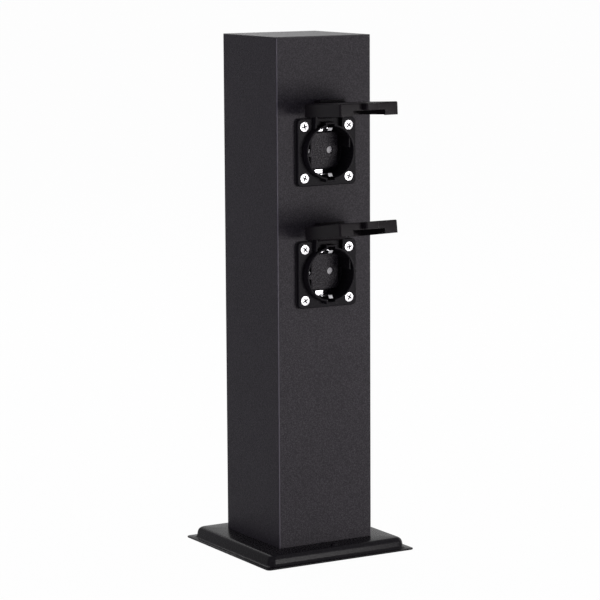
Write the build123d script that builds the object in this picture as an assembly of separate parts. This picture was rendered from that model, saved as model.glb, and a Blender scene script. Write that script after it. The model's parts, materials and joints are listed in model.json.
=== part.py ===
from build123d import *
import math
import os

os.makedirs("parts", exist_ok=True)

# Outdoor socket block: a square column on a pressed foot, with two earthed sockets in its
# front, each behind a hinged lid that stands open. Millimetres, +Z up, the sockets face -Y,
# and the origin is the middle of the foot's underside.

# The column
post_side = 80.5
post_wall = 2.0
post_corner = 1.0
total_height = 389.5
port_radius = 3.6          # round screw port in each inner corner
port_sink = 0.4            # how far a port runs into the walls beside it

# The cap on the column
cap_plate = 1.0
cap_rib_wall = 1.6
cap_rib_depth = 10.0
cap_rib_length = 50.0
cap_gap = 0.1

# The pressed foot
foot_side = 128.0
foot_height = 9.0
foot_sheet = 1.0
lip_width = 4.2
lip_corner = 3.0
wall_corner = 6.0
wall_lean = 2.6            # how far the foot's wall leans in on its way up
foot_bend = 3.2
foot_crease = 1.3
cable_hole_radius = 10.0

# The strap on the floor, and the two screws that hold the foot down on it
strap_width = 32.0
strap_sheet = 2.0
strap_ramp = 6.0
strap_tab = 9.0            # from the top of the ramp out to the screw
foot_screw_inset = 12.0
foot_screw_radius = 2.0
foot_screw_length = 7.0
foot_screw_head_radius = 2.6
foot_screw_head = 2.0
foot_screw_dome = 0.8
strap_end_margin = 4.0
floor_hole_offset = 27.0
floor_hole_radius = 2.75

# The four screws from the foot up into the column
post_screw_radius = 1.9
post_screw_length = 18.0
post_screw_head_radius = 3.6
post_screw_head = 2.3

# The rubber bush for the supply cable
bush_flange = 1.8          # how far its two flanges stand over the sheet
bush_flange_height = 1.8
cable_bore_radius = 5.0

# Sockets: places, and sizes out from the column's front face
upper_socket_drop = 85.0   # below the top of the column
socket_pitch = 90.7
gasket_thickness = 1.0
flange_side = 50.0
flange_corner = 3.5
flange_thickness = 3.0
flange_round = 0.8
screw_pitch = 38.0
cup_radius = 21.0
cutout_gap = 0.5
collar_radius = 20.5
collar_height = 5.75
collar_round = 0.35
recess_radius = 19.2
recess_depth = 17.5
face_thickness = 1.2
face_half = 13.0           # the face ends in chords this far above and below its middle
chord_wall = 1.2
clip_well_depth = 4.75     # the wells of the earth clips, measured down from the face
clip_well_floor = 1.5
cup_depth = 14.25          # from the face to the cup's back edge
pin_pitch = 19.0
pin_hole_radius = 2.7
guide_inner = 16.0         # the two guide walls beside the face, from its middle
guide_wall = 1.0
guide_break = 5.8          # the gap halfway down each of them
guide_drop = 1.0           # they stop this far short of the collar's front edge
key_width = 8.8            # the keyed bumps at the top and bottom of the collar
key_reach = 22.0
key_wall = 1.4
key_depth = 8.25

# Flange screws, countersunk with a cross recess
flange_screw_radius = 1.75
flange_screw_length = 12.0
flange_head_radius = 3.7
flange_head_drop = 0.1
cross_span = 4.4
cross_width = 0.9
cross_depth = 1.3
screw_turn = 20.0          # the screws come to rest at different angles, in degrees

# Hinge
hinge_height = 29.3        # the axis above the socket's centre
hinge_out = 7.0            # the axis out from the column's face
hinge_pin_radius = 1.2
lug_inner = 10.7
lug_thickness = 1.5
lug_radius = 3.6
lug_foot = 17.0
lug_rise = 3.5             # height of the lug's rib over the flange at its lower end
lug_slope = 1.3            # how much more it rises on its way to the eye

# Lid, in its closed place
lid_width = 49.4
lid_length = 51.5
lid_depth = 9.5
lid_wall = 1.8
lid_rim_gap = 0.3
lid_overhang = 26.8        # from the socket's centre down to the lid's tip
lid_tip_corner = 1.5
lid_back_corner = 3.0
lid_edge_round = 1.0
lid_lug_gap = 0.4
lid_back_clear = 4.9       # the back wall stops this far over the rim between the lugs
knuckle_gap = 0.3
knuckle_radius = 4.2
knuckle_rise = 2.4         # how far the knuckle stands over the lid's outer face
knuckle_overlap = 0.7
knuckle_round = 3.5
tip_notch_width = 26.8
tip_notch_depth = 4.0
tab_width = 11.0
tab_reach = 5.6
tab_thickness = 5.2
tab_round = 1.6
seal_inner_radius = 18.0
seal_outer_radius = 21.6
seal_gap = 0.35
upper_lid_angle = 93.5     # how far each lid stands open
lower_lid_angle = 98.6

# Shutter behind the face, turning on a boss
boss_radius = 2.4
boss_tail = 3.1
shutter_gap = 0.3
shutter_thickness = 1.6
shutter_hub_radius = 4.3
shutter_paddle_radius = 3.6
shutter_arm_width = 4.4
spring_wire = 0.25         # radius of its return spring's wire
spring_radius = 3.2
spring_pitch = 0.6
spring_turns = 3
spring_pocket = 1.7

# Contact carrier behind the cup
carrier_gap = 0.2
carrier_clear = 1.0        # between the shutter and the carrier
carrier_radius = 20.6
carrier_depth = 14.0
well_side = 8.4
well_gap = 0.2
carrier_screw_radius = 1.3
carrier_screw_head_radius = 2.8
carrier_screw_head = 1.8
carrier_screw_short = 1.0  # its tip stops this far behind the face's back

# Contacts, terminals and earth strap
sleeve_radius = 3.4
sleeve_bore_radius = 2.45
sleeve_length = 12.0
sleeve_set_back = 0.5
sleeve_root = 2.0
slit_width = 1.0
neck_side = 5.0
cage_depth = 8.0
cage_end = 1.0             # the wall that closes a wire's hole in its cage
earth_width = 6.6
earth_sheet = 0.8
earth_gap = 0.25
earth_leg = 14.0           # the legs come forward this far above and below the middle
earth_wall = 18.3          # the clips step out to here, lean in and turn out again
earth_bulge = 15.8
earth_tip = 18.1
earth_step = 0.85          # the step out to the wall lies this far behind the face
earth_step_bend = 0.5
earth_bulge_place = 14.9   # places in front of the face along the clip
earth_narrow_place = 8.0
earth_tip_place = 16.5
earth_tip_width = 3.4
earth_bend = 1.2
earth_cage_width = 14.0
earth_cage_height = 8.0
earth_cage_depth = 7.2
earth_cage_drop = 12.0     # the middle of the earth cage below the socket's centre
earth_wire_pitch = 7.2
terminal_screw_radius = 1.7
terminal_head_radius = 2.6
terminal_head = 2.0
terminal_screw_rise = 3.0  # how far a terminal screw's neck stands out of its cage

# Wires
wire_radius = 1.6
wire_grip = 5.0            # how far a wire's end reaches into its cage
wire_bend = 6.0
link_run_back = 54.0       # the link wires run down this far behind the column's face

# Earth stud inside the column's back wall
stud_drop = 53.8           # below the lower socket
stud_radius = 2.0
stud_base_radius = 3.2
stud_base = 0.8
stud_length = 11.0
lug_plate = 0.8
lug_ring_radius = 4.6
lug_neck_width = 4.6
barrel_radius = 2.4
barrel_length = 8.0
barrel_start = 6.5
barrel_sink = 0.5          # how deep the lug's plate reaches into its barrel
barrel_overlap = 1.0       # how far the lug's plate runs on along its barrel
barrel_free = 2.0          # the barrel's first stretch, below the wire's end
nut_across = 7.0
nut_thickness = 3.2

# Clearances
thread_gap = 0.05
running_gap = 0.06
seat_gap = 0.15
hole_gap = 0.35

# What follows from the sizes above, out from the column's front face
half_post = post_side / 2
inner_half = half_post - post_wall
port_place = inner_half - port_radius + port_sink
flange_back = gasket_thickness
flange_front = flange_back + flange_thickness
collar_front = flange_front + collar_height
face_front = collar_front - recess_depth
face_back = face_front - face_thickness
clip_floor = face_front - clip_well_depth
clip_floor_back = clip_floor - clip_well_floor
cup_back = face_front - cup_depth
shutter_front = face_back - shutter_gap
shutter_back = shutter_front - shutter_thickness
boss_back = shutter_back - boss_tail
carrier_front = shutter_back - carrier_clear
carrier_back = cup_back - carrier_depth
cage_front = carrier_back + cage_depth
earth_back = carrier_back - earth_sheet
lid_rim = flange_front + lid_rim_gap
lid_front = lid_rim + lid_depth
lid_top = lid_length - lid_overhang
pin_offset = pin_pitch / 2
screw_offset = screw_pitch / 2
upper_height = total_height - upper_socket_drop
sockets = {"upper": upper_height, "lower": upper_height - socket_pitch}
stud_height = sockets["lower"] - stud_drop
barrel_out = stud_base + lug_plate + barrel_radius - barrel_sink
foot_screw_offset = foot_side / 2 - foot_screw_inset
lid_angles = {"upper": upper_lid_angle, "lower": lower_lid_angle}


# Helpers

def rod(radius, low, high, x=0.0, y=0.0):
    base = (Align.CENTER, Align.CENTER, Align.MIN)
    return Pos(x, y, low) * Cylinder(radius, high - low, align=base)


def block(x0, x1, y0, y1, z0, z1):
    middle = Pos((x0 + x1) / 2, (y0 + y1) / 2, (z0 + z1) / 2)
    return middle * Box(abs(x1 - x0), abs(y1 - y0), abs(z1 - z0))


def slab(outline, low, high):
    return Pos(0, 0, low) * extrude(outline, high - low)


def side_cut(outline, x0, x1):
    # an outline drawn in height and distance out, drawn along X
    return Pos(x0, 0, 0) * extrude(Plane.YZ * outline, x1 - x0, dir=(1, 0, 0))


def corners(offset):
    return [(sx * offset, sy * offset) for sx in (-1, 1) for sy in (-1, 1)]


def on_front(shape, height):
    # a socket's own frame: x along X, y up, z out of the column's front face
    frame = Plane(origin=(0, -half_post, height), x_dir=(1, 0, 0), z_dir=(0, -1, 0))
    return frame * shape


def write(name, shape):
    shape.label = name
    export_step(shape, f"parts/{name}.step")
    return shape


# The column, its cap and its foot

def post():
    tube = RectangleRounded(post_side, post_side, post_corner)
    tube -= Rectangle(2 * inner_half, 2 * inner_half)
    port = Circle(port_radius) - Circle(post_screw_radius + thread_gap)
    ports = Sketch() + [Pos(x, y) * port for x, y in corners(port_place)]
    body = slab(tube + ports, foot_height, total_height - cap_plate)
    for height in sockets.values():
        opening = rod(cup_radius + cutout_gap, -2 * post_wall, post_wall)
        for x, y in corners(screw_offset):
            opening += rod(flange_screw_radius + thread_gap, -2 * post_wall, post_wall, x, y)
        body -= on_front(opening, height)
    return body


def top_cap():
    plate = RectangleRounded(post_side, post_side, post_corner)
    cap = slab(plate, total_height - cap_plate, total_height)
    under = total_height - cap_plate
    outer = inner_half - cap_gap
    half_length = cap_rib_length / 2
    for turn in range(4):
        rib = block(-half_length, half_length, outer - cap_rib_wall, outer, under - cap_rib_depth, under)
        cap += Rot(0, 0, 90 * turn) * rib
    return cap


def foot_shell(inset, height, bend):
    side = foot_side - 2 * lip_width - 2 * inset
    lean = math.degrees(math.atan(wall_lean / foot_height))
    outline = RectangleRounded(side, side, wall_corner - inset)
    shell = extrude(outline, height, taper=lean)
    top = shell.faces().sort_by(Axis.Z)[-1]
    return fillet(top.edges(), bend)


def foot_room():
    return foot_shell(foot_sheet, foot_height - foot_sheet, foot_bend - foot_sheet)


def foot():
    outer = foot_shell(0, foot_height, foot_bend)
    lip = slab(RectangleRounded(foot_side, foot_side, lip_corner), 0, foot_sheet)
    body = outer + lip
    creases = [e for e in body.edges() if abs(e.center().Z - foot_sheet) < 0.01
               and max(abs(e.center().X), abs(e.center().Y)) < foot_side / 2 - lip_width / 2]
    body = fillet(creases, foot_crease)
    body -= foot_room()
    body -= rod(cable_hole_radius, 0, 2 * foot_height)
    for x, y in corners(port_place):
        body -= rod(post_screw_radius + hole_gap, 0, 2 * foot_height, x, y)
    for side in (-1, 1):
        body -= rod(foot_screw_radius + hole_gap, 0, 2 * foot_height, 0, side * foot_screw_offset)
    return body


def mounting_strap():
    under = foot_height - foot_sheet
    middle = strap_sheet / 2
    raised = under - strap_sheet / 2
    end = foot_screw_offset + strap_end_margin
    ramp_end = foot_screw_offset - strap_tab
    line = FilletPolyline((0, middle), (ramp_end - strap_ramp, middle), (ramp_end, raised), (end, raised),
                          radius=strap_sheet)
    half = trace(line, strap_sheet)
    strap = side_cut(half, -strap_width / 2, strap_width / 2)
    strap += mirror(strap, Plane.XZ)
    strap &= foot_room()
    strap -= rod(cable_hole_radius, -strap_sheet, foot_height)
    for side in (-1, 1):
        strap -= rod(floor_hole_radius, -strap_sheet, foot_height, 0, side * floor_hole_offset)
        strap -= rod(foot_screw_radius + thread_gap, 0, foot_height, 0, side * foot_screw_offset)
    return strap


def foot_screws():
    screws = []
    for side in (-1, 1):
        head = rod(foot_screw_head_radius, foot_height, foot_height + foot_screw_head)
        head = fillet(head.edges().sort_by(Axis.Z)[-1], foot_screw_dome)
        shank = rod(foot_screw_radius, foot_height - foot_screw_length, foot_height)
        screws.append(Pos(0, side * foot_screw_offset, 0) * (head + shank))
    return Compound(screws)


def post_screws():
    under = foot_height - foot_sheet
    screws = []
    for x, y in corners(port_place):
        screw = rod(post_screw_head_radius, under - post_screw_head, under, x, y)
        screw += rod(post_screw_radius, under, under + post_screw_length, x, y)
        screws.append(screw)
    return Compound(screws)


def cable_bush():
    under = foot_height - foot_sheet
    flange = cable_hole_radius + bush_flange
    bush = rod(flange, under - bush_flange_height, under)
    bush += rod(cable_hole_radius - thread_gap, under, foot_height)
    bush += rod(flange, foot_height, foot_height + bush_flange_height)
    return bush - rod(cable_bore_radius, 0, 2 * foot_height)


# One socket, in its own frame

def gasket():
    outline = RectangleRounded(flange_side, flange_side, flange_corner)
    outline -= Circle(cup_radius + cutout_gap)
    for x, y in corners(screw_offset):
        outline -= Pos(x, y) * Circle(flange_screw_radius + hole_gap)
    return slab(outline, 0, gasket_thickness)


def flange_hole():
    hole = rod(flange_screw_radius + hole_gap, 0, flange_front)
    wide = flange_head_radius + seat_gap
    cone = Pos(0, 0, flange_front - wide / 2) * Cone(0, wide, wide)
    return hole + cone


def hinge_lug():
    low = flange_front - flange_thickness / 2
    rib = Polygon((lug_foot, low), (lug_foot, flange_front + lug_rise),
                  (hinge_height, flange_front + lug_rise + lug_slope),
                  (hinge_height, hinge_out - lug_radius), align=None)
    eye = Pos(hinge_height, hinge_out) * Circle(lug_radius)
    eye_hole = Pos(hinge_height, hinge_out) * Circle(hinge_pin_radius + thread_gap)
    return side_cut(rib + eye - eye_hole, lug_inner, lug_inner + lug_thickness)


def housing():
    flange = RectangleRounded(flange_side, flange_side, flange_corner)
    body = slab(flange, flange_back, flange_front)
    body = fillet(body.faces().sort_by(Axis.Z)[-1].edges(), flange_round)
    body += rod(cup_radius, cup_back, flange_front)
    collar = Circle(collar_radius) + Rectangle(key_width, 2 * key_reach)
    body += slab(collar, flange_front, collar_front)

    bore = Circle(recess_radius)
    face = Rectangle(2 * guide_inner, 2 * face_half)
    behind = Rectangle(2 * (guide_inner - chord_wall), 2 * (face_half - chord_wall))
    body -= slab(bore, face_front, collar_front)
    body -= slab(bore - face, clip_floor, face_front)
    body -= slab(bore & behind, clip_floor_back, face_back)
    body -= slab(bore, cup_back, clip_floor_back)

    key = Rectangle(key_width - 2 * key_wall, 2 * (key_reach - key_wall))
    body -= slab(key, collar_front - key_depth, collar_front)
    for side in (-1, 1):
        guide = Pos(side * (guide_inner + guide_wall / 2), 0) * Rectangle(guide_wall, 2 * recess_radius)
        guide = Circle(collar_radius) & guide - Rectangle(2 * cup_radius, guide_break)
        body += slab(guide, clip_floor, collar_front - guide_drop)
        body -= rod(pin_hole_radius, face_back, face_front, side * pin_offset)
        slot_half = earth_width / 2 + earth_gap
        reach = earth_sheet / 2 + earth_gap
        y = side * earth_leg
        body -= block(-slot_half, slot_half, y - reach, y + reach, clip_floor_back, clip_floor)
    rim = body.edges().filter_by_position(Axis.Z, collar_front, collar_front)
    body = fillet(rim, collar_round)
    body += rod(boss_radius, boss_back, face_back)
    body -= rod(carrier_screw_radius + thread_gap, boss_back, face_back)
    for x, y in corners(screw_offset):
        body -= Pos(x, y, 0) * flange_hole()
    lug = hinge_lug()
    return body + lug + mirror(lug, Plane.YZ)


def flange_screws():
    top = flange_front - flange_head_drop
    cone_height = flange_head_radius - flange_screw_radius
    screws = []
    for x, y in corners(screw_offset):
        head = Cone(flange_screw_radius, flange_head_radius, cone_height)
        screw = Pos(0, 0, top - cone_height / 2) * head
        screw += rod(flange_screw_radius, top - flange_screw_length, top - cone_height)
        cross = Rectangle(cross_span, cross_width) + Rectangle(cross_width, cross_span)
        screw -= slab(cross, top - cross_depth, top)
        turned = Rot(0, 0, screw_turn * (x - y) / screw_offset)
        screws.append(Pos(x, y, 0) * turned * screw)
    return Compound(screws)


def lid():
    outline = Pos(0, (lid_top - lid_overhang) / 2) * Rectangle(lid_width, lid_length)
    ends = outline.vertices().sort_by(Axis.Y)
    outline = fillet(ends[:2], lid_tip_corner)
    ends = outline.vertices().sort_by(Axis.Y)
    outline = fillet(ends[-2:], lid_back_corner)
    shell = slab(outline, lid_rim, lid_front)
    shell = fillet(shell.faces().sort_by(Axis.Z)[-1].edges(), lid_edge_round)
    shell -= slab(offset(outline, -lid_wall), lid_rim, lid_front - lid_wall)

    lug_room = lug_inner + lug_thickness + lid_lug_gap
    shell -= block(-lug_room, lug_room, lid_top - 2 * lid_wall, lid_top, lid_rim, lid_rim + lid_back_clear)
    notch_half = tip_notch_width / 2
    shell -= block(-notch_half, notch_half, -lid_overhang, lid_wall - lid_overhang,
                   lid_rim, lid_rim + tip_notch_depth)

    crest = lid_front + knuckle_rise
    knuckle_top = hinge_height + knuckle_radius
    web_low = lid_rim + lid_back_clear
    start = lid_top - knuckle_overlap
    profile = Polygon((start, web_low), (start, crest), (knuckle_top, crest), (knuckle_top, hinge_out),
                      (hinge_height, hinge_out), (hinge_height, web_low), align=None)
    outer_corner = profile.vertices().sort_by(lambda v: -v.X - v.Y)[0]
    profile = fillet(outer_corner, knuckle_round)
    profile += Pos(hinge_height, hinge_out) * Circle(knuckle_radius)
    profile -= Pos(hinge_height, hinge_out) * Circle(hinge_pin_radius + running_gap)
    half = lug_inner - knuckle_gap
    shell += side_cut(profile, -half, half)

    tab = Pos(0, -lid_overhang - tab_reach / 2) * Rectangle(tab_width, tab_reach)
    tab = fillet(tab.vertices().sort_by(Axis.Y)[:2], tab_round)
    tab += Pos(0, -lid_overhang + lid_wall / 4) * Rectangle(tab_width, lid_wall / 2 + lid_edge_round)
    return shell + slab(tab, lid_front - tab_thickness, lid_front - lid_edge_round / 2)


def lid_seal():
    high = lid_front - lid_wall
    return slab(Circle(seal_outer_radius) - Circle(seal_inner_radius), collar_front + seal_gap, high)


def hinge_pin():
    half = lug_inner + lug_thickness
    return side_cut(Pos(hinge_height, hinge_out) * Circle(hinge_pin_radius), -half, half)


def opened(shape, angle):
    # swing a closed lid open about the hinge axis
    axis = Axis((0, hinge_height, hinge_out), (1, 0, 0))
    return shape.rotate(axis, -angle)


def shutter():
    outline = Circle(shutter_hub_radius) + Rectangle(pin_pitch, shutter_arm_width)
    for side in (-1, 1):
        outline += Pos(side * pin_offset, 0) * Circle(shutter_paddle_radius)
    outline -= Circle(boss_radius + running_gap)
    return slab(outline, shutter_back, shutter_front)


def shutter_spring():
    coil = Helix(spring_pitch, spring_turns * spring_pitch, spring_radius)
    start = Plane(origin=coil @ 0, z_dir=coil % 0)
    spring = sweep(start * Circle(spring_wire), path=coil, is_frenet=True)
    return Pos(0, 0, carrier_front - spring_pocket + spring_wire + seat_gap) * spring


def carrier():
    nose = Circle(recess_radius - carrier_gap)
    room = chord_wall + carrier_gap
    middle = nose & Rectangle(2 * (guide_inner - room), 2 * (face_half - room))
    body = slab(middle, clip_floor_back - carrier_gap, carrier_front)
    body += slab(nose, cup_back, clip_floor_back - carrier_gap)
    body += rod(carrier_radius, carrier_back, cup_back)
    half = well_side / 2
    access = carrier_back + cage_depth / 2
    for side in (-1, 1):
        x = side * pin_offset
        body -= block(x - half, x + half, -half, half, carrier_back, carrier_front)
        hole = rod(terminal_head_radius + hole_gap, 0, 2 * carrier_radius)
        body -= Pos(x, 0, access) * Rot(-90, 0, 0) * hole
        slot_half = earth_width / 2 + earth_gap
        reach = earth_sheet / 2 + earth_gap
        y = side * earth_leg
        body -= block(-slot_half, slot_half, y - reach, y + reach, carrier_back, carrier_front)
        inner = side * (earth_leg - earth_bend)
        body -= block(-slot_half, slot_half, inner, y, carrier_back, carrier_back + earth_bend)
    body -= rod(boss_radius + carrier_gap, boss_back, carrier_front)
    body -= rod(spring_radius + spring_wire + hole_gap, carrier_front - spring_pocket, carrier_front)
    return body - rod(carrier_screw_radius + hole_gap, carrier_back, boss_back)


def carrier_screw():
    tip = face_back - carrier_screw_short
    screw = rod(carrier_screw_radius, earth_back, tip)
    return screw + rod(carrier_screw_head_radius, earth_back - carrier_screw_head, earth_back)


def contact(side):
    x = side * pin_offset
    front = carrier_front - sleeve_set_back
    back = front - sleeve_length
    sleeve = rod(sleeve_radius, back, front) - rod(sleeve_bore_radius, back, front)
    sleeve -= block(-slit_width / 2, slit_width / 2, -sleeve_radius, sleeve_radius, back + sleeve_root, front)
    neck = block(-neck_side / 2, neck_side / 2, -neck_side / 2, neck_side / 2, cage_front, back)
    half = well_side / 2 - well_gap
    cage = block(-half, half, -half, half, carrier_back, cage_front)
    cage -= rod(wire_radius + thread_gap, carrier_back, cage_front - cage_end)
    middle = Pos(0, 0, carrier_back + cage_depth / 2)
    cage -= middle * Rot(-90, 0, 0) * rod(terminal_screw_radius + thread_gap, 0, half)
    return Pos(x, 0, 0) * (sleeve + neck + cage)


def earth_strap():
    back = carrier_back - earth_sheet / 2
    step = face_front - earth_step
    leg = FilletPolyline((0, back), (earth_leg, back), (earth_leg, (back + step) / 2), radius=earth_bend)
    clip = FilletPolyline((earth_leg, (back + step) / 2), (earth_leg, step), (earth_wall, step),
                          (earth_bulge, face_front + earth_bulge_place),
                          (earth_tip, face_front + earth_tip_place), radius=earth_step_bend)
    half = side_cut(trace(leg + clip, earth_sheet), -earth_width / 2, earth_width / 2)
    for side in (-1, 1):
        half -= block(side * earth_tip_width / 2, side * earth_width, 0, recess_radius,
                      face_front + earth_narrow_place, collar_front)
    strap = half + mirror(half, Plane.XZ)
    strap -= rod(carrier_screw_radius + thread_gap, earth_back, carrier_back)
    low = -earth_cage_drop - earth_cage_height / 2
    cage_back = earth_back - earth_cage_depth
    cage = block(-earth_cage_width / 2, earth_cage_width / 2, low, low + earth_cage_height,
                 cage_back, earth_back)
    for side in (-1, 1):
        x = side * earth_wire_pitch / 2
        cage -= rod(wire_radius + thread_gap, cage_back, earth_back - cage_end, x, -earth_cage_drop)
        screw_hole = rod(terminal_screw_radius + thread_gap, 0, earth_cage_height)
        cage -= Pos(x, -earth_cage_drop, cage_back + earth_cage_depth / 2) * Rot(90, 0, 0) * screw_hole
    return strap + cage


def terminal_screw(cage_half):
    # pointing up from the middle of a wire, tip on the wire
    neck = cage_half + terminal_screw_rise
    screw = rod(terminal_screw_radius, wire_radius + thread_gap, neck)
    screw += rod(terminal_head_radius, neck, neck + terminal_head)
    slot = Rectangle(2 * terminal_head_radius, cross_width)
    return screw - slab(slot, neck + terminal_head / 2, neck + terminal_head)


def terminal_screws():
    pole = terminal_screw(well_side / 2 - well_gap)
    earth = terminal_screw(earth_cage_height / 2)
    cage_middle = earth_back - earth_cage_depth / 2
    screws = []
    for side in (-1, 1):
        screws.append(Pos(side * pin_offset, 0, carrier_back + cage_depth / 2) * Rot(-90, 0, 0) * pole)
        place = Pos(side * earth_wire_pitch / 2, -earth_cage_drop, cage_middle)
        screws.append(place * Rot(90, 0, 0) * earth)
    return Compound(screws)


# Wires and the earth stud inside the column

def wire(points):
    path = FilletPolyline(*points, radius=wire_bend)
    start = Plane(origin=path @ 0, z_dir=path % 0)
    return sweep(start * Circle(wire_radius), path=path)


def link_wire(x, drop, cage_back):
    inside = -half_post - cage_back - wire_grip
    behind = -half_post + link_run_back
    high = sockets["upper"] - drop
    low = sockets["lower"] - drop
    return wire([(x, inside, high), (x, behind, high), (x, behind, low), (x, inside, low)])


def bond_wire():
    x = earth_wire_pitch / 2
    inside = -half_post - (earth_back - earth_cage_depth) - wire_grip
    behind = inner_half - barrel_out
    high = sockets["lower"] - earth_cage_drop
    low = stud_height + barrel_start + barrel_free
    return wire([(x, inside, high), (x, behind, high), (x, behind, low)])


def earth_stud():
    stud = rod(stud_base_radius, 0, stud_base) + rod(stud_radius, stud_base, stud_length)
    return at_stud(stud)


def at_stud(shape):
    # z runs forward from the inside of the column's back wall, y runs up
    place = Plane(origin=(earth_wire_pitch / 2, inner_half, stud_height), x_dir=(1, 0, 0), z_dir=(0, -1, 0))
    return place * shape


def earth_lug():
    ring = Circle(lug_ring_radius)
    neck_end = barrel_start + barrel_overlap
    neck = Pos(0, neck_end / 2) * Rectangle(lug_neck_width, neck_end)
    plate = slab(ring + neck - Circle(stud_radius + thread_gap), stud_base, stud_base + lug_plate)
    barrel = rod(barrel_radius, 0, barrel_length) - rod(wire_radius + thread_gap, 0, barrel_length)
    barrel = Pos(0, barrel_start, barrel_out) * Rot(-90, 0, 0) * barrel
    return at_stud(plate + barrel)


def earth_nut():
    low = stud_base + lug_plate
    outline = RegularPolygon(nut_across / 2, 6, major_radius=False) - Circle(stud_radius + thread_gap)
    return at_stud(slab(outline, low, low + nut_thickness))


# Write every piece

write("post", post())
write("top_cap", top_cap())
write("foot", foot())
write("mounting_strap", mounting_strap())
write("foot_screws", foot_screws())
write("post_screws", post_screws())
write("cable_bush", cable_bush())

for name, height in sockets.items():
    angle = lid_angles[name]
    write(f"{name}_gasket", on_front(gasket(), height))
    write(f"{name}_housing", on_front(housing(), height))
    write(f"{name}_flange_screws", on_front(flange_screws(), height))
    write(f"{name}_hinge_pin", on_front(hinge_pin(), height))
    write(f"{name}_lid", on_front(opened(lid(), angle), height))
    write(f"{name}_lid_seal", on_front(opened(lid_seal(), angle), height))
    write(f"{name}_shutter", on_front(shutter(), height))
    write(f"{name}_shutter_spring", on_front(shutter_spring(), height))
    write(f"{name}_carrier", on_front(carrier(), height))
    write(f"{name}_carrier_screw", on_front(carrier_screw(), height))
    write(f"{name}_contact_left", on_front(contact(-1), height))
    write(f"{name}_contact_right", on_front(contact(1), height))
    write(f"{name}_earth_strap", on_front(earth_strap(), height))
    write(f"{name}_terminal_screws", on_front(terminal_screws(), height))

write("link_wire_live", link_wire(-pin_offset, 0, carrier_back))
write("link_wire_neutral", link_wire(pin_offset, 0, carrier_back))
write("link_wire_earth", link_wire(-earth_wire_pitch / 2, earth_cage_drop, earth_back - earth_cage_depth))
write("bond_wire", bond_wire())
write("earth_stud", earth_stud())
write("earth_lug", earth_lug())
write("earth_nut", earth_nut())
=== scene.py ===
import bmesh
import bpy
import json
import math
from mathutils import Matrix, Vector


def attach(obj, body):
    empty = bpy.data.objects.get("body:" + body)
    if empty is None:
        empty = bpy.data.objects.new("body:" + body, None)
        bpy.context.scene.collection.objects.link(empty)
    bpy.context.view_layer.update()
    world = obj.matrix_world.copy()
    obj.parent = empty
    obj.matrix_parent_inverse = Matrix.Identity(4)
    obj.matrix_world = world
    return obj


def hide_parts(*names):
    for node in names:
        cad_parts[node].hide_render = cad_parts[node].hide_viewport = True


# Outdoor socket block: a square column on a pressed foot, with two sockets behind hinged lids.
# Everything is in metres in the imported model's own frame: +Z up, the sockets face -Y.

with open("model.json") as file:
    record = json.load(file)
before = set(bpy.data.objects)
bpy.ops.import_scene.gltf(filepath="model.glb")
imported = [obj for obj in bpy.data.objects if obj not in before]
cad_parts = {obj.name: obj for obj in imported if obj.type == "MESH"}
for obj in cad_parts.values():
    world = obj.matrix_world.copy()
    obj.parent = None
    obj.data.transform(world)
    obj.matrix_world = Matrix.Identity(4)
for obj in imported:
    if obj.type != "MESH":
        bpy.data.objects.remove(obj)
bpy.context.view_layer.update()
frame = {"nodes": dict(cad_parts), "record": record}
nodes = frame["nodes"]
scene = bpy.context.scene
print("model loaded,", len(nodes), "nodes")

# places that several pieces share
columnFront = -0.04025
socketHeights = {"upper": 0.3045, "lower": 0.2138}
lidAngles = {"upper": 93.5, "lower": 98.6}
hingeUp = 0.0293
hingeOut = 0.0070
flangeFace = 0.0040
footHeight = 0.0090


# The camera, fitted to the photograph's edges: angles in degrees, lens and sensor in millimetres

cameraView = {
    "place": (-0.9944, -1.6958, 0.4730),
    "yaw": 30.44,
    "pitch": 8.232,
    "roll": -0.322,
    "lens": 157.26,
    "sensor": 36,
    "farthest": 300,
}


def makeCamera(view):
    data = bpy.data.cameras.new("photoCamera")
    data.sensor_width = view["sensor"]
    data.lens = view["lens"]
    data.clip_end = view["farthest"]
    camera = bpy.data.objects.new("photoCamera", data)
    scene.collection.objects.link(camera)
    yaw, pitch, roll = (math.radians(view[k]) for k in ("yaw", "pitch", "roll"))
    forward = Vector((math.sin(yaw) * math.cos(pitch), math.cos(yaw) * math.cos(pitch), -math.sin(pitch)))
    right = Vector((math.cos(yaw), -math.sin(yaw), 0))
    up = right.cross(forward)
    sideways = math.cos(roll) * right + math.sin(roll) * up
    upright = math.cos(roll) * up - math.sin(roll) * right
    turn = Matrix((sideways, upright, -forward)).transposed().to_4x4()
    camera.matrix_world = Matrix.Translation(view["place"]) @ turn
    scene.camera = camera


makeCamera(cameraView)
print("camera placed")


# Node helpers for shader and geometry trees

noiseRoughness = 0.55
cellSmoothness = 0.7
usefulNoise = (0.3, 0.7)


def addNode(tree, kind, **values):
    node = tree.nodes.new(kind)
    for name, value in values.items():
        setattr(node, name, value)
    return node


def give(spot, value):
    # sets an input, or links it where the value is another node's output
    if isinstance(value, bpy.types.NodeSocket):
        spot.id_data.links.new(value, spot)
    else:
        spot.default_value = value


def feed(node, sockets):
    # gives values to the inputs that have these names
    for name, value in sockets.items():
        give(next(s for s in node.inputs if s.name == name and s.enabled), value)
    return node


def result(node):
    # the one output in use, on nodes that keep others for other kinds of data
    return next(s for s in node.outputs if s.enabled)


def noise(tree, size, detail, stretch=(1, 1, 1)):
    # patches about size metres across, on the object's own coordinates
    mapping = feed(addNode(tree, "ShaderNodeMapping"), {
        "Vector": addNode(tree, "ShaderNodeTexCoord").outputs["Object"], "Scale": stretch})
    texture = feed(addNode(tree, "ShaderNodeTexNoise"), {
        "Vector": mapping.outputs["Vector"], "Scale": 1 / size, "Detail": detail,
        "Roughness": noiseRoughness})
    return texture.outputs["Fac"]


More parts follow.
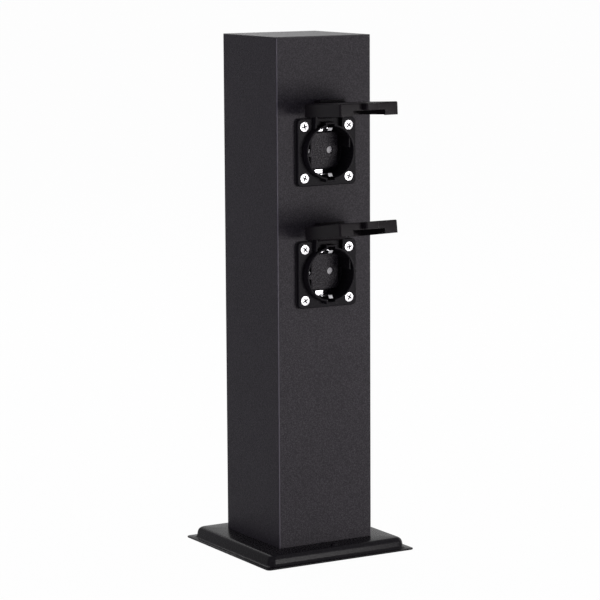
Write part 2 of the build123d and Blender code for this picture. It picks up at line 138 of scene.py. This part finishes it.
def cells(tree, size):
    texture = feed(addNode(tree, "ShaderNodeTexVoronoi", feature="SMOOTH_F1"), {
        "Vector": addNode(tree, "ShaderNodeTexCoord").outputs["Object"], "Scale": 1 / size,
        "Smoothness": cellSmoothness})
    return texture.outputs["Distance"]


def ramp(tree, factor, stops):
    node = addNode(tree, "ShaderNodeValToRGB")
    feed(node, {"Fac": factor})
    while len(node.color_ramp.elements) < len(stops):
        node.color_ramp.elements.new(0.5)
    for element, (place, colour) in zip(node.color_ramp.elements, stops):
        element.position = place
        element.color = (*colour, 1)
    return node.outputs["Color"]


def graded(tree, factor, ends, colours):
    # the darkest, middle and lightest of three colours between two ends
    return ramp(tree, factor, list(zip((ends[0], 0.5, ends[1]), colours)))


def spread(tree, factor, low, high):
    # the useful middle of a noise, mapped onto a range
    node = feed(addNode(tree, "ShaderNodeMapRange"), {
        "Value": factor, "From Min": usefulNoise[0], "From Max": usefulNoise[1],
        "To Min": low, "To Max": high})
    return node.outputs["Result"]


def calc(tree, operation, first, second=0.0):
    node = addNode(tree, "ShaderNodeMath", operation=operation)
    give(node.inputs[0], first)
    give(node.inputs[1], second)
    return node.outputs[0]


def bump(tree, height, depth, normal=None):
    node = feed(addNode(tree, "ShaderNodeBump"), {"Height": height, "Distance": depth, "Strength": 1.0})
    if normal:
        feed(node, {"Normal": normal})
    return node.outputs["Normal"]


def axesOf(tree):
    where = addNode(tree, "ShaderNodeTexCoord").outputs["Object"]
    return feed(addNode(tree, "ShaderNodeSeparateXYZ"), {"Vector": where}).outputs


def turnsTo(tree, colour, other, value, start, end):
    # one colour changing to another, given plain or as an output, while a value goes from start to end
    share = feed(addNode(tree, "ShaderNodeMapRange"), {"Value": value, "From Min": start, "From Max": end})
    return result(feed(addNode(tree, "ShaderNodeMix", data_type="RGBA"), {
        "Factor": share.outputs["Result"], "A": colour,
        "B": other if isinstance(other, bpy.types.NodeSocket) else (*other, 1)}))


def paintedEdgeHighlight(tree, colour, look):
    # painted highlight: the coat's colour turns lighter along the four upright edges, standing in for the
    # light their rounded corners catch
    axes = axesOf(tree)
    reach = calc(tree, "ADD", calc(tree, "ABSOLUTE", axes["X"]), calc(tree, "ABSOLUTE", axes["Y"]))
    return turnsTo(tree, colour, look["edgeColour"], reach,
                   look["edgeAt"] - look["edgeBlend"], look["edgeAt"])


def paintedRecessShade(tree, colour, look):
    # painted shade: the metal turns dark where the cross recess goes in below the head's face
    return turnsTo(tree, colour, look["recessColour"], axesOf(tree)["Y"], look["recessAt"],
                   look["recessAt"] + look["recessBlend"])


def coarseGrainAndPaintedLight(tree, colour, look):
    # the recess floor has a coarser moulded grain, and a paler colour that is painted light on the same
    # plastic as the rest
    texture = noise(tree, look["faceGrain"], grainDetail)
    paler = graded(tree, texture, look["faceEnds"], look["faceColours"])
    return turnsTo(tree, colour, paler, axesOf(tree)["Y"],
                   look["faceAt"] - look["faceBlend"], look["faceAt"])


# Finishes. Each look gives the darkest, middle and lightest grains of the colour, the size and
# depth of the grain, and how rough the surface is. What it leaves out comes from plainLook.

plainLook = {"stretch": (1, 1, 1), "rampEnds": (0.34, 0.66), "metallic": 0.0, "roughSpread": 0.05,
             "cloudSize": 0.03, "cloudShade": 0.9, "cloudEnds": (0.35, 0.65)}
grainDetail = 3.0
cloudDetail = 2.0
greyTint = (1, 0.985, 1.02)


def makeFinish(name, changes):
    look = {**plainLook, **changes}
    material = bpy.data.materials.new(name)
    material.use_nodes = True
    tree = material.node_tree
    grain = noise(tree, look["grainSize"], grainDetail, look["stretch"])
    clouds = noise(tree, look["cloudSize"], cloudDetail)
    shades = [(level, level, level) for level in (look["cloudShade"], 1)]
    colour = result(feed(addNode(tree, "ShaderNodeMix", data_type="RGBA", blend_type="MULTIPLY"), {
        "Factor": 1.0, "A": graded(tree, grain, look["rampEnds"], look["colours"]),
        "B": ramp(tree, clouds, list(zip(look["cloudEnds"], shades)))}))
    for key, change in (("edgeAt", paintedEdgeHighlight), ("recessAt", paintedRecessShade), ("faceAt", coarseGrainAndPaintedLight)):
        if key in look:
            colour = change(tree, colour, look)
    span = look["roughSpread"]
    rough = spread(tree, grain, look["roughness"] - span, look["roughness"] + span)
    normal = bump(tree, grain, look["grainDepth"])
    if "waveSize" in look:
        normal = bump(tree, cells(tree, look["waveSize"]), look["waveDepth"], normal)
    shader = feed(tree.nodes["Principled BSDF"], {
        "Base Color": colour, "Roughness": rough, "Normal": normal, "Metallic": look["metallic"]})
    if "specular" in look:
        feed(shader, {"Specular IOR Level": look["specular"]})
    return material


def grey(*levels):
    return [tuple(level * tint for tint in greyTint) for level in levels]


looks = {
    "columnCoat": {"colours": [(0.0225, 0.0207, 0.0231), (0.033, 0.0305, 0.0338), (0.052, 0.0488, 0.0532)],
                   "grainSize": 0.0008, "grainDepth": 0.0002, "roughness": 0.44, "specular": 0.04,
                   "waveSize": 0.0013, "waveDepth": 0.00007, "cloudSize": 0.05, "cloudShade": 0.93,
                   # painted highlight along the column's four upright edges
                   "edgeAt": 0.07988, "edgeBlend": 0.0002, "edgeColour": (0.13, 0.125, 0.136)},
    "capCoat": {"colours": [(0.02, 0.0185, 0.0205), (0.03, 0.028, 0.031), (0.045, 0.042, 0.046)],
                "grainSize": 0.0011, "grainDepth": 0.00003, "roughness": 0.42, "specular": 0.12},
    "footCoat": {"colours": [(0.0078, 0.0072, 0.0084), (0.0098, 0.009, 0.0105), (0.013, 0.0121, 0.0138)],
                 "grainSize": 0.0013, "grainDepth": 0.00002, "roughness": 0.26, "specular": 0.044,
                 "waveSize": 0.003, "waveDepth": 0.00004},
    "lidPlastic": {"colours": [(0.0078, 0.0065, 0.0075), (0.0104, 0.0089, 0.0101), (0.014, 0.0124, 0.0136)],
                   "grainSize": 0.0005, "grainDepth": 0.00001, "roughness": 0.32, "specular": 0.04},
    "socketPlastic": {"colours": [(0.0072, 0.0067, 0.0078), (0.0105, 0.0097, 0.0112),
                                  (0.017, 0.016, 0.0177)],
                      "grainSize": 0.0006, "grainDepth": 0.0001, "roughness": 0.4, "specular": 0.026,
                      # paler recess floor: painted light on the same plastic, with a coarser moulded grain
                      "faceAt": -0.0329, "faceBlend": 0.0003, "faceGrain": 0.0009, "faceEnds": (0.38, 0.62),
                      "faceColours": [(0.016, 0.0149, 0.0166), (0.031, 0.029, 0.032),
                                      (0.062, 0.059, 0.063)]},
    "shutterPlastic": {"colours": grey(0.3, 0.35, 0.4), "grainSize": 0.0006, "grainDepth": 0.00001,
                       "roughness": 0.45},
    "carrierPlastic": {"colours": [(0.5, 0.48, 0.44), (0.55, 0.53, 0.49), (0.6, 0.58, 0.54)],
                       "grainSize": 0.0008, "grainDepth": 0.00002, "roughness": 0.5},
    "gasketRubber": {"colours": grey(0.006, 0.009, 0.013), "grainSize": 0.0007, "grainDepth": 0.00002,
                     "roughness": 0.7, "specular": 0.3},
    "sealRubber": {"colours": grey(0.008, 0.012, 0.018), "grainSize": 0.0008, "grainDepth": 0.00002,
                   "roughness": 0.65, "specular": 0.15},
    "bushRubber": {"colours": grey(0.008, 0.012, 0.017), "grainSize": 0.0009, "grainDepth": 0.00002,
                   "roughness": 0.68},
    "screwSteel": {"colours": grey(0.44, 0.54, 0.64), "grainSize": 0.0004, "grainDepth": 0.000006,
                   "roughness": 0.46, "metallic": 1.0,
                   # painted shade in the screws' cross recess
                   "recessAt": -0.04385, "recessBlend": 0.0004, "recessColour": (0.08, 0.079, 0.082)},
    "clipSteel": {"colours": grey(0.5, 0.6, 0.7), "grainSize": 0.0005, "grainDepth": 0.000004,
                  "roughness": 0.3, "metallic": 1.0, "stretch": (1, 0.15, 0.15)},
    "zincSteel": {"colours": grey(0.42, 0.55, 0.66), "grainSize": 0.0012, "grainDepth": 0.00001,
                  "roughness": 0.36, "metallic": 1.0, "cloudSize": 0.006},
    "pinSteel": {"colours": grey(0.5, 0.6, 0.68), "grainSize": 0.0006, "grainDepth": 0.000006,
                 "roughness": 0.28, "metallic": 1.0, "stretch": (6, 1, 1)},
    "springSteel": {"colours": grey(0.4, 0.52, 0.62), "grainSize": 0.0005, "grainDepth": 0.000005,
                    "roughness": 0.3, "metallic": 1.0},
    "contactBrass": {"colours": [(0.6, 0.43, 0.16), (0.72, 0.54, 0.24), (0.8, 0.63, 0.32)],
                     "grainSize": 0.0009, "grainDepth": 0.000008, "roughness": 0.32, "metallic": 1.0},
    "lugTin": {"colours": grey(0.6, 0.7, 0.78), "grainSize": 0.0008, "grainDepth": 0.000008,
               "roughness": 0.4, "metallic": 1.0},
    "wireBrown": {"colours": [(0.13, 0.055, 0.022), (0.16, 0.07, 0.03), (0.19, 0.085, 0.038)],
                  "grainSize": 0.002, "grainDepth": 0.00001, "roughness": 0.4},
    "wireBlue": {"colours": [(0.015, 0.07, 0.3), (0.02, 0.09, 0.35), (0.03, 0.11, 0.4)],
                 "grainSize": 0.002, "grainDepth": 0.00001, "roughness": 0.4},
    "wireGreen": {"colours": [(0.02, 0.16, 0.03), (0.3, 0.42, 0.03), (0.62, 0.56, 0.03)],
                  "grainSize": 0.006, "grainDepth": 0.00001, "roughness": 0.4,
                  "rampEnds": (0.46, 0.54), "stretch": (3, 3, 0.05)},
}
finishes = {name: makeFinish(name, look) for name, look in looks.items()}
print("finishes made:", len(finishes))

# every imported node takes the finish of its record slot, such as column_coat for columnCoat
for subpart in frame["record"]["subparts"]:
    first, *others = subpart["material_slot"].split("_")
    node = nodes[subpart["node"]]
    node.data.materials.clear()
    node.data.materials.append(finishes[first + "".join(word.capitalize() for word in others)])


# Piece helpers. Edges that turn by more than the angle given here, in degrees, stay sharp.

sharpAngles = {"screws": 30, "seals": 40, "foot": 40, "copies": 32}


def socketPlace(height):
    # a socket's own frame: x along X, y up, z out of the column's front
    turn = Matrix(((1, 0, 0), (0, 0, -1), (0, 1, 0))).to_4x4()
    return Matrix.Translation((0, columnFront, height)) @ turn


def lidPlace(which):
    # the same frame with the closed lid swung open about its hinge
    hinge = Vector((0, hingeUp, hingeOut))
    swing = Matrix.Rotation(math.radians(-lidAngles[which]), 4, "X")
    closed = socketPlace(socketHeights[which])
    return closed @ Matrix.Translation(hinge) @ swing @ Matrix.Translation(-hinge)


def settle(piece, kind, place=None):
    # fixes the place in the mesh and smooths all but the sharp edges
    if place:
        piece.data.transform(place)
    piece.data.shade_smooth()
    piece.data.set_sharp_from_angle(angle=math.radians(sharpAngles[kind]))


def bake(piece):
    # turns a piece's modifiers into a plain mesh
    bpy.context.view_layer.update()
    mesh = bpy.data.meshes.new_from_object(piece.evaluated_get(bpy.context.evaluated_depsgraph_get()))
    piece.modifiers.clear()
    piece.data = mesh
    return piece


mergeDistance = 0.000002
flatAngle = 0.5
edgeSegments = 2


def rounded(piece, name, width, segments, limit, angle=None):
    edge = piece.modifiers.new(name, "BEVEL")
    edge.width = width
    edge.segments = segments
    edge.limit_method = limit
    if angle:
        edge.angle_limit = math.radians(angle)
    return edge


def softened(name, node, width, body):
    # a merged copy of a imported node, its hard edges rounded as far as its short edges leave room:
    # in full on the top plate, very little on the lids and clips, hardly at all on the mouldings
    mesh = nodes[node].data.copy()
    work = bmesh.new()
    work.from_mesh(mesh)
    bmesh.ops.remove_doubles(work, verts=work.verts, dist=mergeDistance)
    bmesh.ops.dissolve_limit(work, angle_limit=math.radians(flatAngle), verts=work.verts, edges=work.edges)
    work.to_mesh(mesh)
    work.free()
    if mesh.attributes.get("custom_normal"):
        mesh.attributes.remove(mesh.attributes["custom_normal"])
    piece = bpy.data.objects.new(name, mesh)
    scene.collection.objects.link(piece)
    settle(piece, "copies")
    edges = rounded(piece, "roundedEdges", width, edgeSegments, "ANGLE", sharpAngles["copies"])
    edges.harden_normals = True
    bake(piece)
    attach(piece, body)
    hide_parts(node)


def openTree(name, labels):
    # a shape tree with a named input for each size, whole numbers for counts, and its finish
    tree = bpy.data.node_groups.new(name, "GeometryNodeTree")
    for label, value in labels.items():
        tree.interface.new_socket(name=label, in_out="INPUT", socket_type=(
            "NodeSocketInt" if isinstance(value, int) else "NodeSocketFloat"))
    tree.interface.new_socket(name="finish", in_out="INPUT", socket_type="NodeSocketMaterial")
    tree.interface.new_socket(name="shape", in_out="OUTPUT", socket_type="NodeSocketGeometry")
    return tree, addNode(tree, "NodeGroupInput").outputs


def closeTree(tree, shape, given):
    whole = feed(addNode(tree, "GeometryNodeRealizeInstances"), {"Geometry": shape})
    dressed = feed(addNode(tree, "GeometryNodeSetMaterial"), {
        "Geometry": whole.outputs["Geometry"], "Material": given["finish"]})
    tree.links.new(dressed.outputs["Geometry"], addNode(tree, "NodeGroupOutput").inputs["shape"])
    return tree


def grown(name, tree, sizes, finish):
    # a new piece made by a shape tree, its inputs set by their identifiers
    piece = bpy.data.objects.new(name, bpy.data.meshes.new(name))
    scene.collection.objects.link(piece)
    maker = piece.modifiers.new("maker", "NODES")
    maker.node_group = tree
    for spot in tree.interface.items_tree:
        if spot.in_out == "INPUT":
            maker[spot.identifier] = finishes[finish] if spot.name == "finish" else sizes[spot.name]
    return piece


def point(tree, x=0.0, y=0.0, z=0.0):
    return feed(addNode(tree, "ShaderNodeCombineXYZ"), {"X": x, "Y": y, "Z": z}).outputs["Vector"]


def moved(tree, shape, shift=None, scale=None, turn=None):
    node = feed(addNode(tree, "GeometryNodeTransform"), {"Geometry": shape})
    for name, value in (("Translation", shift), ("Scale", scale), ("Rotation", turn)):
        if value is not None:
            feed(node, {name: value})
    return node.outputs["Geometry"]


def combined(tree, operation, *shapes):
    node = addNode(tree, "GeometryNodeMeshBoolean", operation=operation, solver="EXACT")
    first = 0
    if operation == "DIFFERENCE":
        tree.links.new(shapes[0], node.inputs[0])
        first = 1
    for shape in shapes[first:]:
        tree.links.new(shape, node.inputs[1])
    return node.outputs["Mesh"]


# Turned and pressed shapes start as a sheet of rows whose two ends meet

seamGap = 0.00001


def wrapped(tree, around, rowCount):
    grid = feed(addNode(tree, "GeometryNodeMeshGrid"), {
        "Size X": 1.0, "Size Y": 1.0, "Vertices X": calc(tree, "ADD", around, 1.0), "Vertices Y": rowCount})
    index = addNode(tree, "GeometryNodeInputIndex").outputs["Index"]
    row = calc(tree, "MODULO", index, float(rowCount))
    along = calc(tree, "FLOOR", calc(tree, "DIVIDE", calc(tree, "ADD", index, 0.5), float(rowCount)))
    return grid.outputs["Mesh"], row, calc(tree, "MODULO", along, around)


def byRow(tree, row, values):
    # one value for each row of the sheet
    pick = addNode(tree, "GeometryNodeIndexSwitch", data_type="FLOAT")
    while len(pick.index_switch_items) < len(values):
        pick.index_switch_items.new()
    feed(pick, {"Index": row})
    for spot, value in zip(pick.inputs[1:], values):
        give(spot, value)
    return pick.outputs["Output"]


def shaped(tree, mesh, x, y, z):
    bent = feed(addNode(tree, "GeometryNodeSetPosition"), {
        "Geometry": mesh, "Position": point(tree, x, y, z)})
    joined = feed(addNode(tree, "GeometryNodeMergeByDistance"), {
        "Geometry": bent.outputs["Geometry"], "Distance": seamGap})
    return joined.outputs["Geometry"]


# The screws: a turned head, crown and shank with a tapered cross recess, set out on a grid. Each
# is turned by its own chance angle. Heights count from the rim of the head.

flangeScrew = {"head radius": 0.0037, "seat radius": 0.00175, "head depth": 0.00195, "crown": 0.0003,
               "shank radius": 0.00175, "shank length": 0.00975, "cross reach": 0.0020, "cross width": 0.25,
               "cross depth": 0.0017, "across": 0.038, "up": 0.038, "count across": 2, "count up": 2,
               "most turn": 1.5, "seed": 12, "steps around": 40}
footScrew = {"head radius": 0.0026, "seat radius": 0.0026, "head depth": 0.0012, "crown": 0.0008,
             "shank radius": 0.0020, "shank length": 0.0070, "cross reach": 0.0013, "cross width": 0.3,
             "cross depth": 0.0009, "across": 0.0, "up": 0.104, "count across": 1, "count up": 2,
             "most turn": 1.5, "seed": 3, "steps around": 40}
seedStep = 5
headDrop = 0.0004          # from the flange's face down to the rim of the head
crownShares = (1.0, 0.93, 0.75, 0.4, 0.0)          # of the head's radius, from the rim inwards
crossMargin = 0.0002
bladeShares = {"corner": 1.414, "top": 1.25, "floor": 0.35}          # of the cross's reach


def screwTree():
    tree, given = openTree("screws", flangeScrew)
    seat = calc(tree, "MULTIPLY", given["head depth"], -1)
    tip = calc(tree, "SUBTRACT", seat, given["shank length"])
    radii = [0.0, given["shank radius"], given["shank radius"], given["seat radius"]]
    heights = [tip, tip, seat, seat]
    for share in crownShares:
        radii.append(calc(tree, "MULTIPLY", given["head radius"], share))
        heights.append(calc(tree, "MULTIPLY", given["crown"], 1 - share * share))
    sheet, row, along = wrapped(tree, given["steps around"], len(radii))
    radius = byRow(tree, row, radii)
    angle = calc(tree, "MULTIPLY", calc(tree, "DIVIDE", along, given["steps around"]), 2 * math.pi)
    body = shaped(tree, sheet, calc(tree, "MULTIPLY", radius, calc(tree, "COSINE", angle)),
                  calc(tree, "MULTIPLY", radius, calc(tree, "SINE", angle)), byRow(tree, row, heights))
    # each blade of the cross is a flattened four-sided taper that ends just over the crown
    reach = calc(tree, "MULTIPLY", given["cross reach"], bladeShares["corner"])
    blade = feed(addNode(tree, "GeometryNodeMeshCone"), {
        "Vertices": 4, "Radius Top": calc(tree, "MULTIPLY", reach, bladeShares["top"]),
        "Radius Bottom": calc(tree, "MULTIPLY", reach, bladeShares["floor"]),
        "Depth": calc(tree, "ADD", given["cross depth"], crossMargin)})
    blade = moved(tree, blade.outputs["Mesh"], turn=(0, 0, math.pi / 4))
    floor = calc(tree, "SUBTRACT", given["crown"], given["cross depth"])
    blade = moved(tree, blade, point(tree, z=floor), point(tree, 1.0, given["cross width"], 1.0))
    other = moved(tree, blade, turn=(0, 0, math.pi / 2))
    cross = combined(tree, "UNION", blade, other)
    screw = combined(tree, "DIFFERENCE", body, cross)
    grid = feed(addNode(tree, "GeometryNodeMeshGrid"), {
        "Size X": given["across"], "Size Y": given["up"], "Vertices X": given["count across"],
        "Vertices Y": given["count up"]})
    chance = feed(addNode(tree, "FunctionNodeRandomValue", data_type="FLOAT"), {
        "Min": 0.0, "Max": given["most turn"], "Seed": given["seed"]})
    placed = feed(addNode(tree, "GeometryNodeInstanceOnPoints"), {
        "Points": grid.outputs["Mesh"], "Instance": screw, "Rotation": point(tree, z=result(chance))})
    return closeTree(tree, placed.outputs["Instances"], given)


screws = screwTree()
for step, (which, height) in enumerate(socketHeights.items()):
    ownScrew = {**flangeScrew, "seed": flangeScrew["seed"] + step * seedStep}
    piece = bake(grown(which + "FlangeScrews", screws, ownScrew, "screwSteel"))
    settle(piece, "screws", socketPlace(height) @ Matrix.Translation((0, 0, flangeFace - headDrop)))
    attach(piece, "column")
    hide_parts(which + "_flange_screws")

piece = bake(grown("footScrews", screws, footScrew, "footCoat"))
settle(piece, "screws", Matrix.Translation((0, 0, footHeight + footScrew["head depth"])))
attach(piece, "column")
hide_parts("foot_screws")
print("screws made")


# The lids' sealing rings, a rounded section swept round a circle

sealRing = {"middle radius": 0.0198, "width": 0.0036, "thickness": 0.0019, "rounding": 0.0006,
            "rounding steps": 3, "steps": 72}
sealSeat = 0.0120


def sealTree():
    tree, given = openTree("seals", sealRing)
    circle = feed(addNode(tree, "GeometryNodeCurvePrimitiveCircle"), {
        "Resolution": given["steps"], "Radius": given["middle radius"]})
    upright = addNode(tree, "GeometryNodeSetCurveNormal", mode="Z_UP")
    tree.links.new(circle.outputs["Curve"], upright.inputs["Curve"])
    section = feed(addNode(tree, "GeometryNodeCurvePrimitiveQuadrilateral"), {
        "Width": given["width"], "Height": given["thickness"]})
    profile = feed(addNode(tree, "GeometryNodeFilletCurve", mode="POLY"), {
        "Curve": section.outputs["Curve"], "Radius": given["rounding"], "Count": given["rounding steps"]})
    ring = feed(addNode(tree, "GeometryNodeCurveToMesh"), {
        "Curve": upright.outputs["Curve"], "Profile Curve": profile.outputs["Curve"]})
    return closeTree(tree, ring.outputs["Mesh"], given)


seals = sealTree()
for which in socketHeights:
    piece = bake(grown(which + "SealRing", seals, sealRing, "sealRubber"))
    ringMiddle = sealSeat - sealRing["thickness"] / 2
    settle(piece, "seals", lidPlace(which) @ Matrix.Translation((0, 0, ringMiddle)))
    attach(piece, which + "_lid")
    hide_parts(which + "_lid_seal")
print("seals made")


# The pressed foot: rounded squares for the lip, the wall's base, the wall's top and the cable hole,
# joined by flat bands, with its two bends rounded and then given its thickness

pressedFoot = {"lip half": 0.0640, "lip corner": 0.0030, "base half": 0.0595, "base corner": 0.0058,
               "top half": 0.0578, "top corner": 0.0040, "hole radius": 0.0100, "height": footHeight,
               "sheet": 0.0010, "corner steps": 14, "bend": 0.0034, "crease share": 0.6}
levelSlack = 0.00001
lipMargin = 0.002
bendSegments = 6
sheetEdge = {"width": 0.0002, "angle": 60}


def footTree():
    tree, given = openTree("foot", pressedFoot)
    steps = given["corner steps"]
    sheet, row, column = wrapped(tree, calc(tree, "MULTIPLY", steps, 4.0), 4)
    rows = {"half": ("lip half", "base half", "top half", "hole radius"),
            "corner": ("lip corner", "base corner", "top corner", "hole radius")}
    level = {name: byRow(tree, row, [given[label] for label in labels]) for name, labels in rows.items()}
    low = given["sheet"]
    high = calc(tree, "GREATER_THAN", row, 1.5)
    z = calc(tree, "ADD", low, calc(tree, "MULTIPLY", high, calc(tree, "SUBTRACT", given["height"], low)))
    quarter = calc(tree, "FLOOR", calc(tree, "DIVIDE", calc(tree, "ADD", column, 0.5), steps))
    within = calc(tree, "DIVIDE", calc(tree, "SUBTRACT", column, calc(tree, "MULTIPLY", quarter, steps)),
                  calc(tree, "SUBTRACT", steps, 1.0))
    angle = calc(tree, "MULTIPLY", calc(tree, "ADD", quarter, within), math.pi / 2)
    middle = calc(tree, "MULTIPLY", calc(tree, "ADD", quarter, 0.5), math.pi / 2)
    ways = []
    for turn in ("COSINE", "SINE"):
        side = calc(tree, "SIGN", calc(tree, turn, middle))
        centre = calc(tree, "MULTIPLY", side, calc(tree, "SUBTRACT", level["half"], level["corner"]))
        swing = calc(tree, "MULTIPLY", level["corner"], calc(tree, turn, angle))
        ways.append(calc(tree, "ADD", centre, swing))
    return closeTree(tree, shaped(tree, sheet, *ways, z), given)


def markBends(mesh, look):
    # bevel weights: the wall's top edge in full, its base by a share
    weights = mesh.attributes.new("bevel_weight_edge", "FLOAT", "EDGE")
    for edge in mesh.edges:
        ends = [mesh.vertices[v].co for v in edge.vertices]
        raised = [abs(end.z - look["height"]) < levelSlack for end in ends]
        reach = [max(abs(end.x), abs(end.y)) for end in ends]
        if all(raised) and min(reach) > look["hole radius"] * 2:
            weights.data[edge.index].value = 1.0
        if not any(raised) and max(reach) < look["lip half"] - lipMargin:
            weights.data[edge.index].value = look["crease share"]


piece = bake(grown("pressedFoot", footTree(), pressedFoot, "footCoat"))
markBends(piece.data, pressedFoot)
piece.data.shade_smooth()
rounded(piece, "bends", pressedFoot["bend"], bendSegments, "WEIGHT")
sheet = piece.modifiers.new("sheet", "SOLIDIFY")
sheet.thickness = pressedFoot["sheet"]
sheet.offset = -1.0
rounded(piece, "edges", sheetEdge["width"], edgeSegments, "ANGLE", sheetEdge["angle"])
bake(piece)
settle(piece, "foot")
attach(piece, "column")
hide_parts("foot")
print("foot made")


# The sockets' mouldings, lids, earth clips and the plate on top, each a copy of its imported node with
# the most that its hard edges are rounded by

rounding = {"housing": 0.0002, "lid": 0.00025, "clips": 0.00012, "plate": 0.0003}

for which in socketHeights:
    softened(which + "SocketMoulding", which + "_housing", rounding["housing"], "column")
    softened(which + "LidShell", which + "_lid", rounding["lid"], which + "_lid")
    softened(which + "EarthClips", which + "_earth_strap", rounding["clips"], "column")
softened("topPlate", "top_cap", rounding["plate"], "column")
print("mouldings, lids, clips and top copied")


# Floor, backdrop and light

studio = {
    "floorSize": 90.0,
    "floorColour": (0.8, 0.8, 0.8),
    "floorRoughness": 0.9,
    "floorWhite": 0.98,
    "lampAim": (0, 0, 0.2),
    "surround": (0.115, 0.105, 0.16),
    "lamps": [
        {"name": "frontSoftbox", "place": (0.5, -1.3, 0.22), "size": (0.6, 0.36), "power": 13.4,
         "colour": (1.0, 0.98, 0.98)},
        {"name": "leftSoftbox", "place": (-1.8, -0.3, 0.8), "size": (1.4, 1.4), "power": 5.5,
         "colour": (0.87, 0.78, 1.0)},
        {"name": "rightSoftbox", "place": (1.9, 0.1, 0.7), "size": (1.2, 1.2), "power": 12,
         "colour": (1.0, 0.98, 0.98)},
        {"name": "rearSoftbox", "place": (0.2, 1.5, 1.7), "size": (1.2, 1.2), "power": 20,
         "colour": (1.0, 0.98, 1.0)},
    ],
}


def whiteShare(tree, share):
    # share for the rays of the camera, of reflections and of glass, and nothing for the others
    rays = addNode(tree, "ShaderNodeLightPath").outputs
    total = rays["Is Camera Ray"]
    for kind in ("Is Glossy Ray", "Is Transmission Ray"):
        total = calc(tree, "MAXIMUM", total, rays[kind])
    return calc(tree, "MULTIPLY", total, share)


def makeFloor(look):
    half = look["floorSize"] / 2
    mesh = bpy.data.meshes.new("floor")
    corners = [(-half, -half, 0), (half, -half, 0), (half, half, 0), (-half, half, 0)]
    mesh.from_pydata(corners, [], [(0, 1, 2, 3)])
    floor = bpy.data.objects.new("floor", mesh)
    scene.collection.objects.link(floor)
    material = bpy.data.materials.new("paleFloor")
    material.use_nodes = True
    tree = material.node_tree
    shader = tree.nodes["Principled BSDF"]
    feed(shader, {"Base Color": (*look["floorColour"], 1), "Roughness": look["floorRoughness"]})
    white = feed(addNode(tree, "ShaderNodeEmission"), {"Color": (1, 1, 1, 1), "Strength": 1.0})
    both = addNode(tree, "ShaderNodeMixShader")
    parts = (whiteShare(tree, look["floorWhite"]), shader.outputs[0], white.outputs[0])
    for spot, part in zip(both.inputs, parts):
        give(spot, part)
    tree.links.new(both.outputs[0], tree.nodes["Material Output"].inputs["Surface"])
    mesh.materials.append(material)


def makeWorld(look):
    world = bpy.data.worlds.new("studio")
    scene.world = world
    world.use_nodes = True
    tree = world.node_tree
    colour = turnsTo(tree, (*look["surround"], 1), (1, 1, 1), whiteShare(tree, 1.0), 0.0, 1.0)
    feed(tree.nodes["Background"], {"Color": colour, "Strength": 1.0})


def makeLamps(look):
    for lamp in look["lamps"]:
        data = bpy.data.lights.new(lamp["name"], "AREA")
        data.shape = "RECTANGLE"
        data.size, data.size_y = lamp["size"]
        data.energy = lamp["power"]
        data.color = lamp["colour"]
        light = bpy.data.objects.new(lamp["name"], data)
        light.visible_camera = False
        light.location = lamp["place"]
        aim = Vector(look["lampAim"]) - Vector(lamp["place"])
        light.rotation_euler = aim.to_track_quat("-Z", "Y").to_euler()
        scene.collection.objects.link(light)


makeFloor(studio)
makeWorld(studio)
makeLamps(studio)
scene.view_settings.view_transform = "Standard"
print("studio lit")
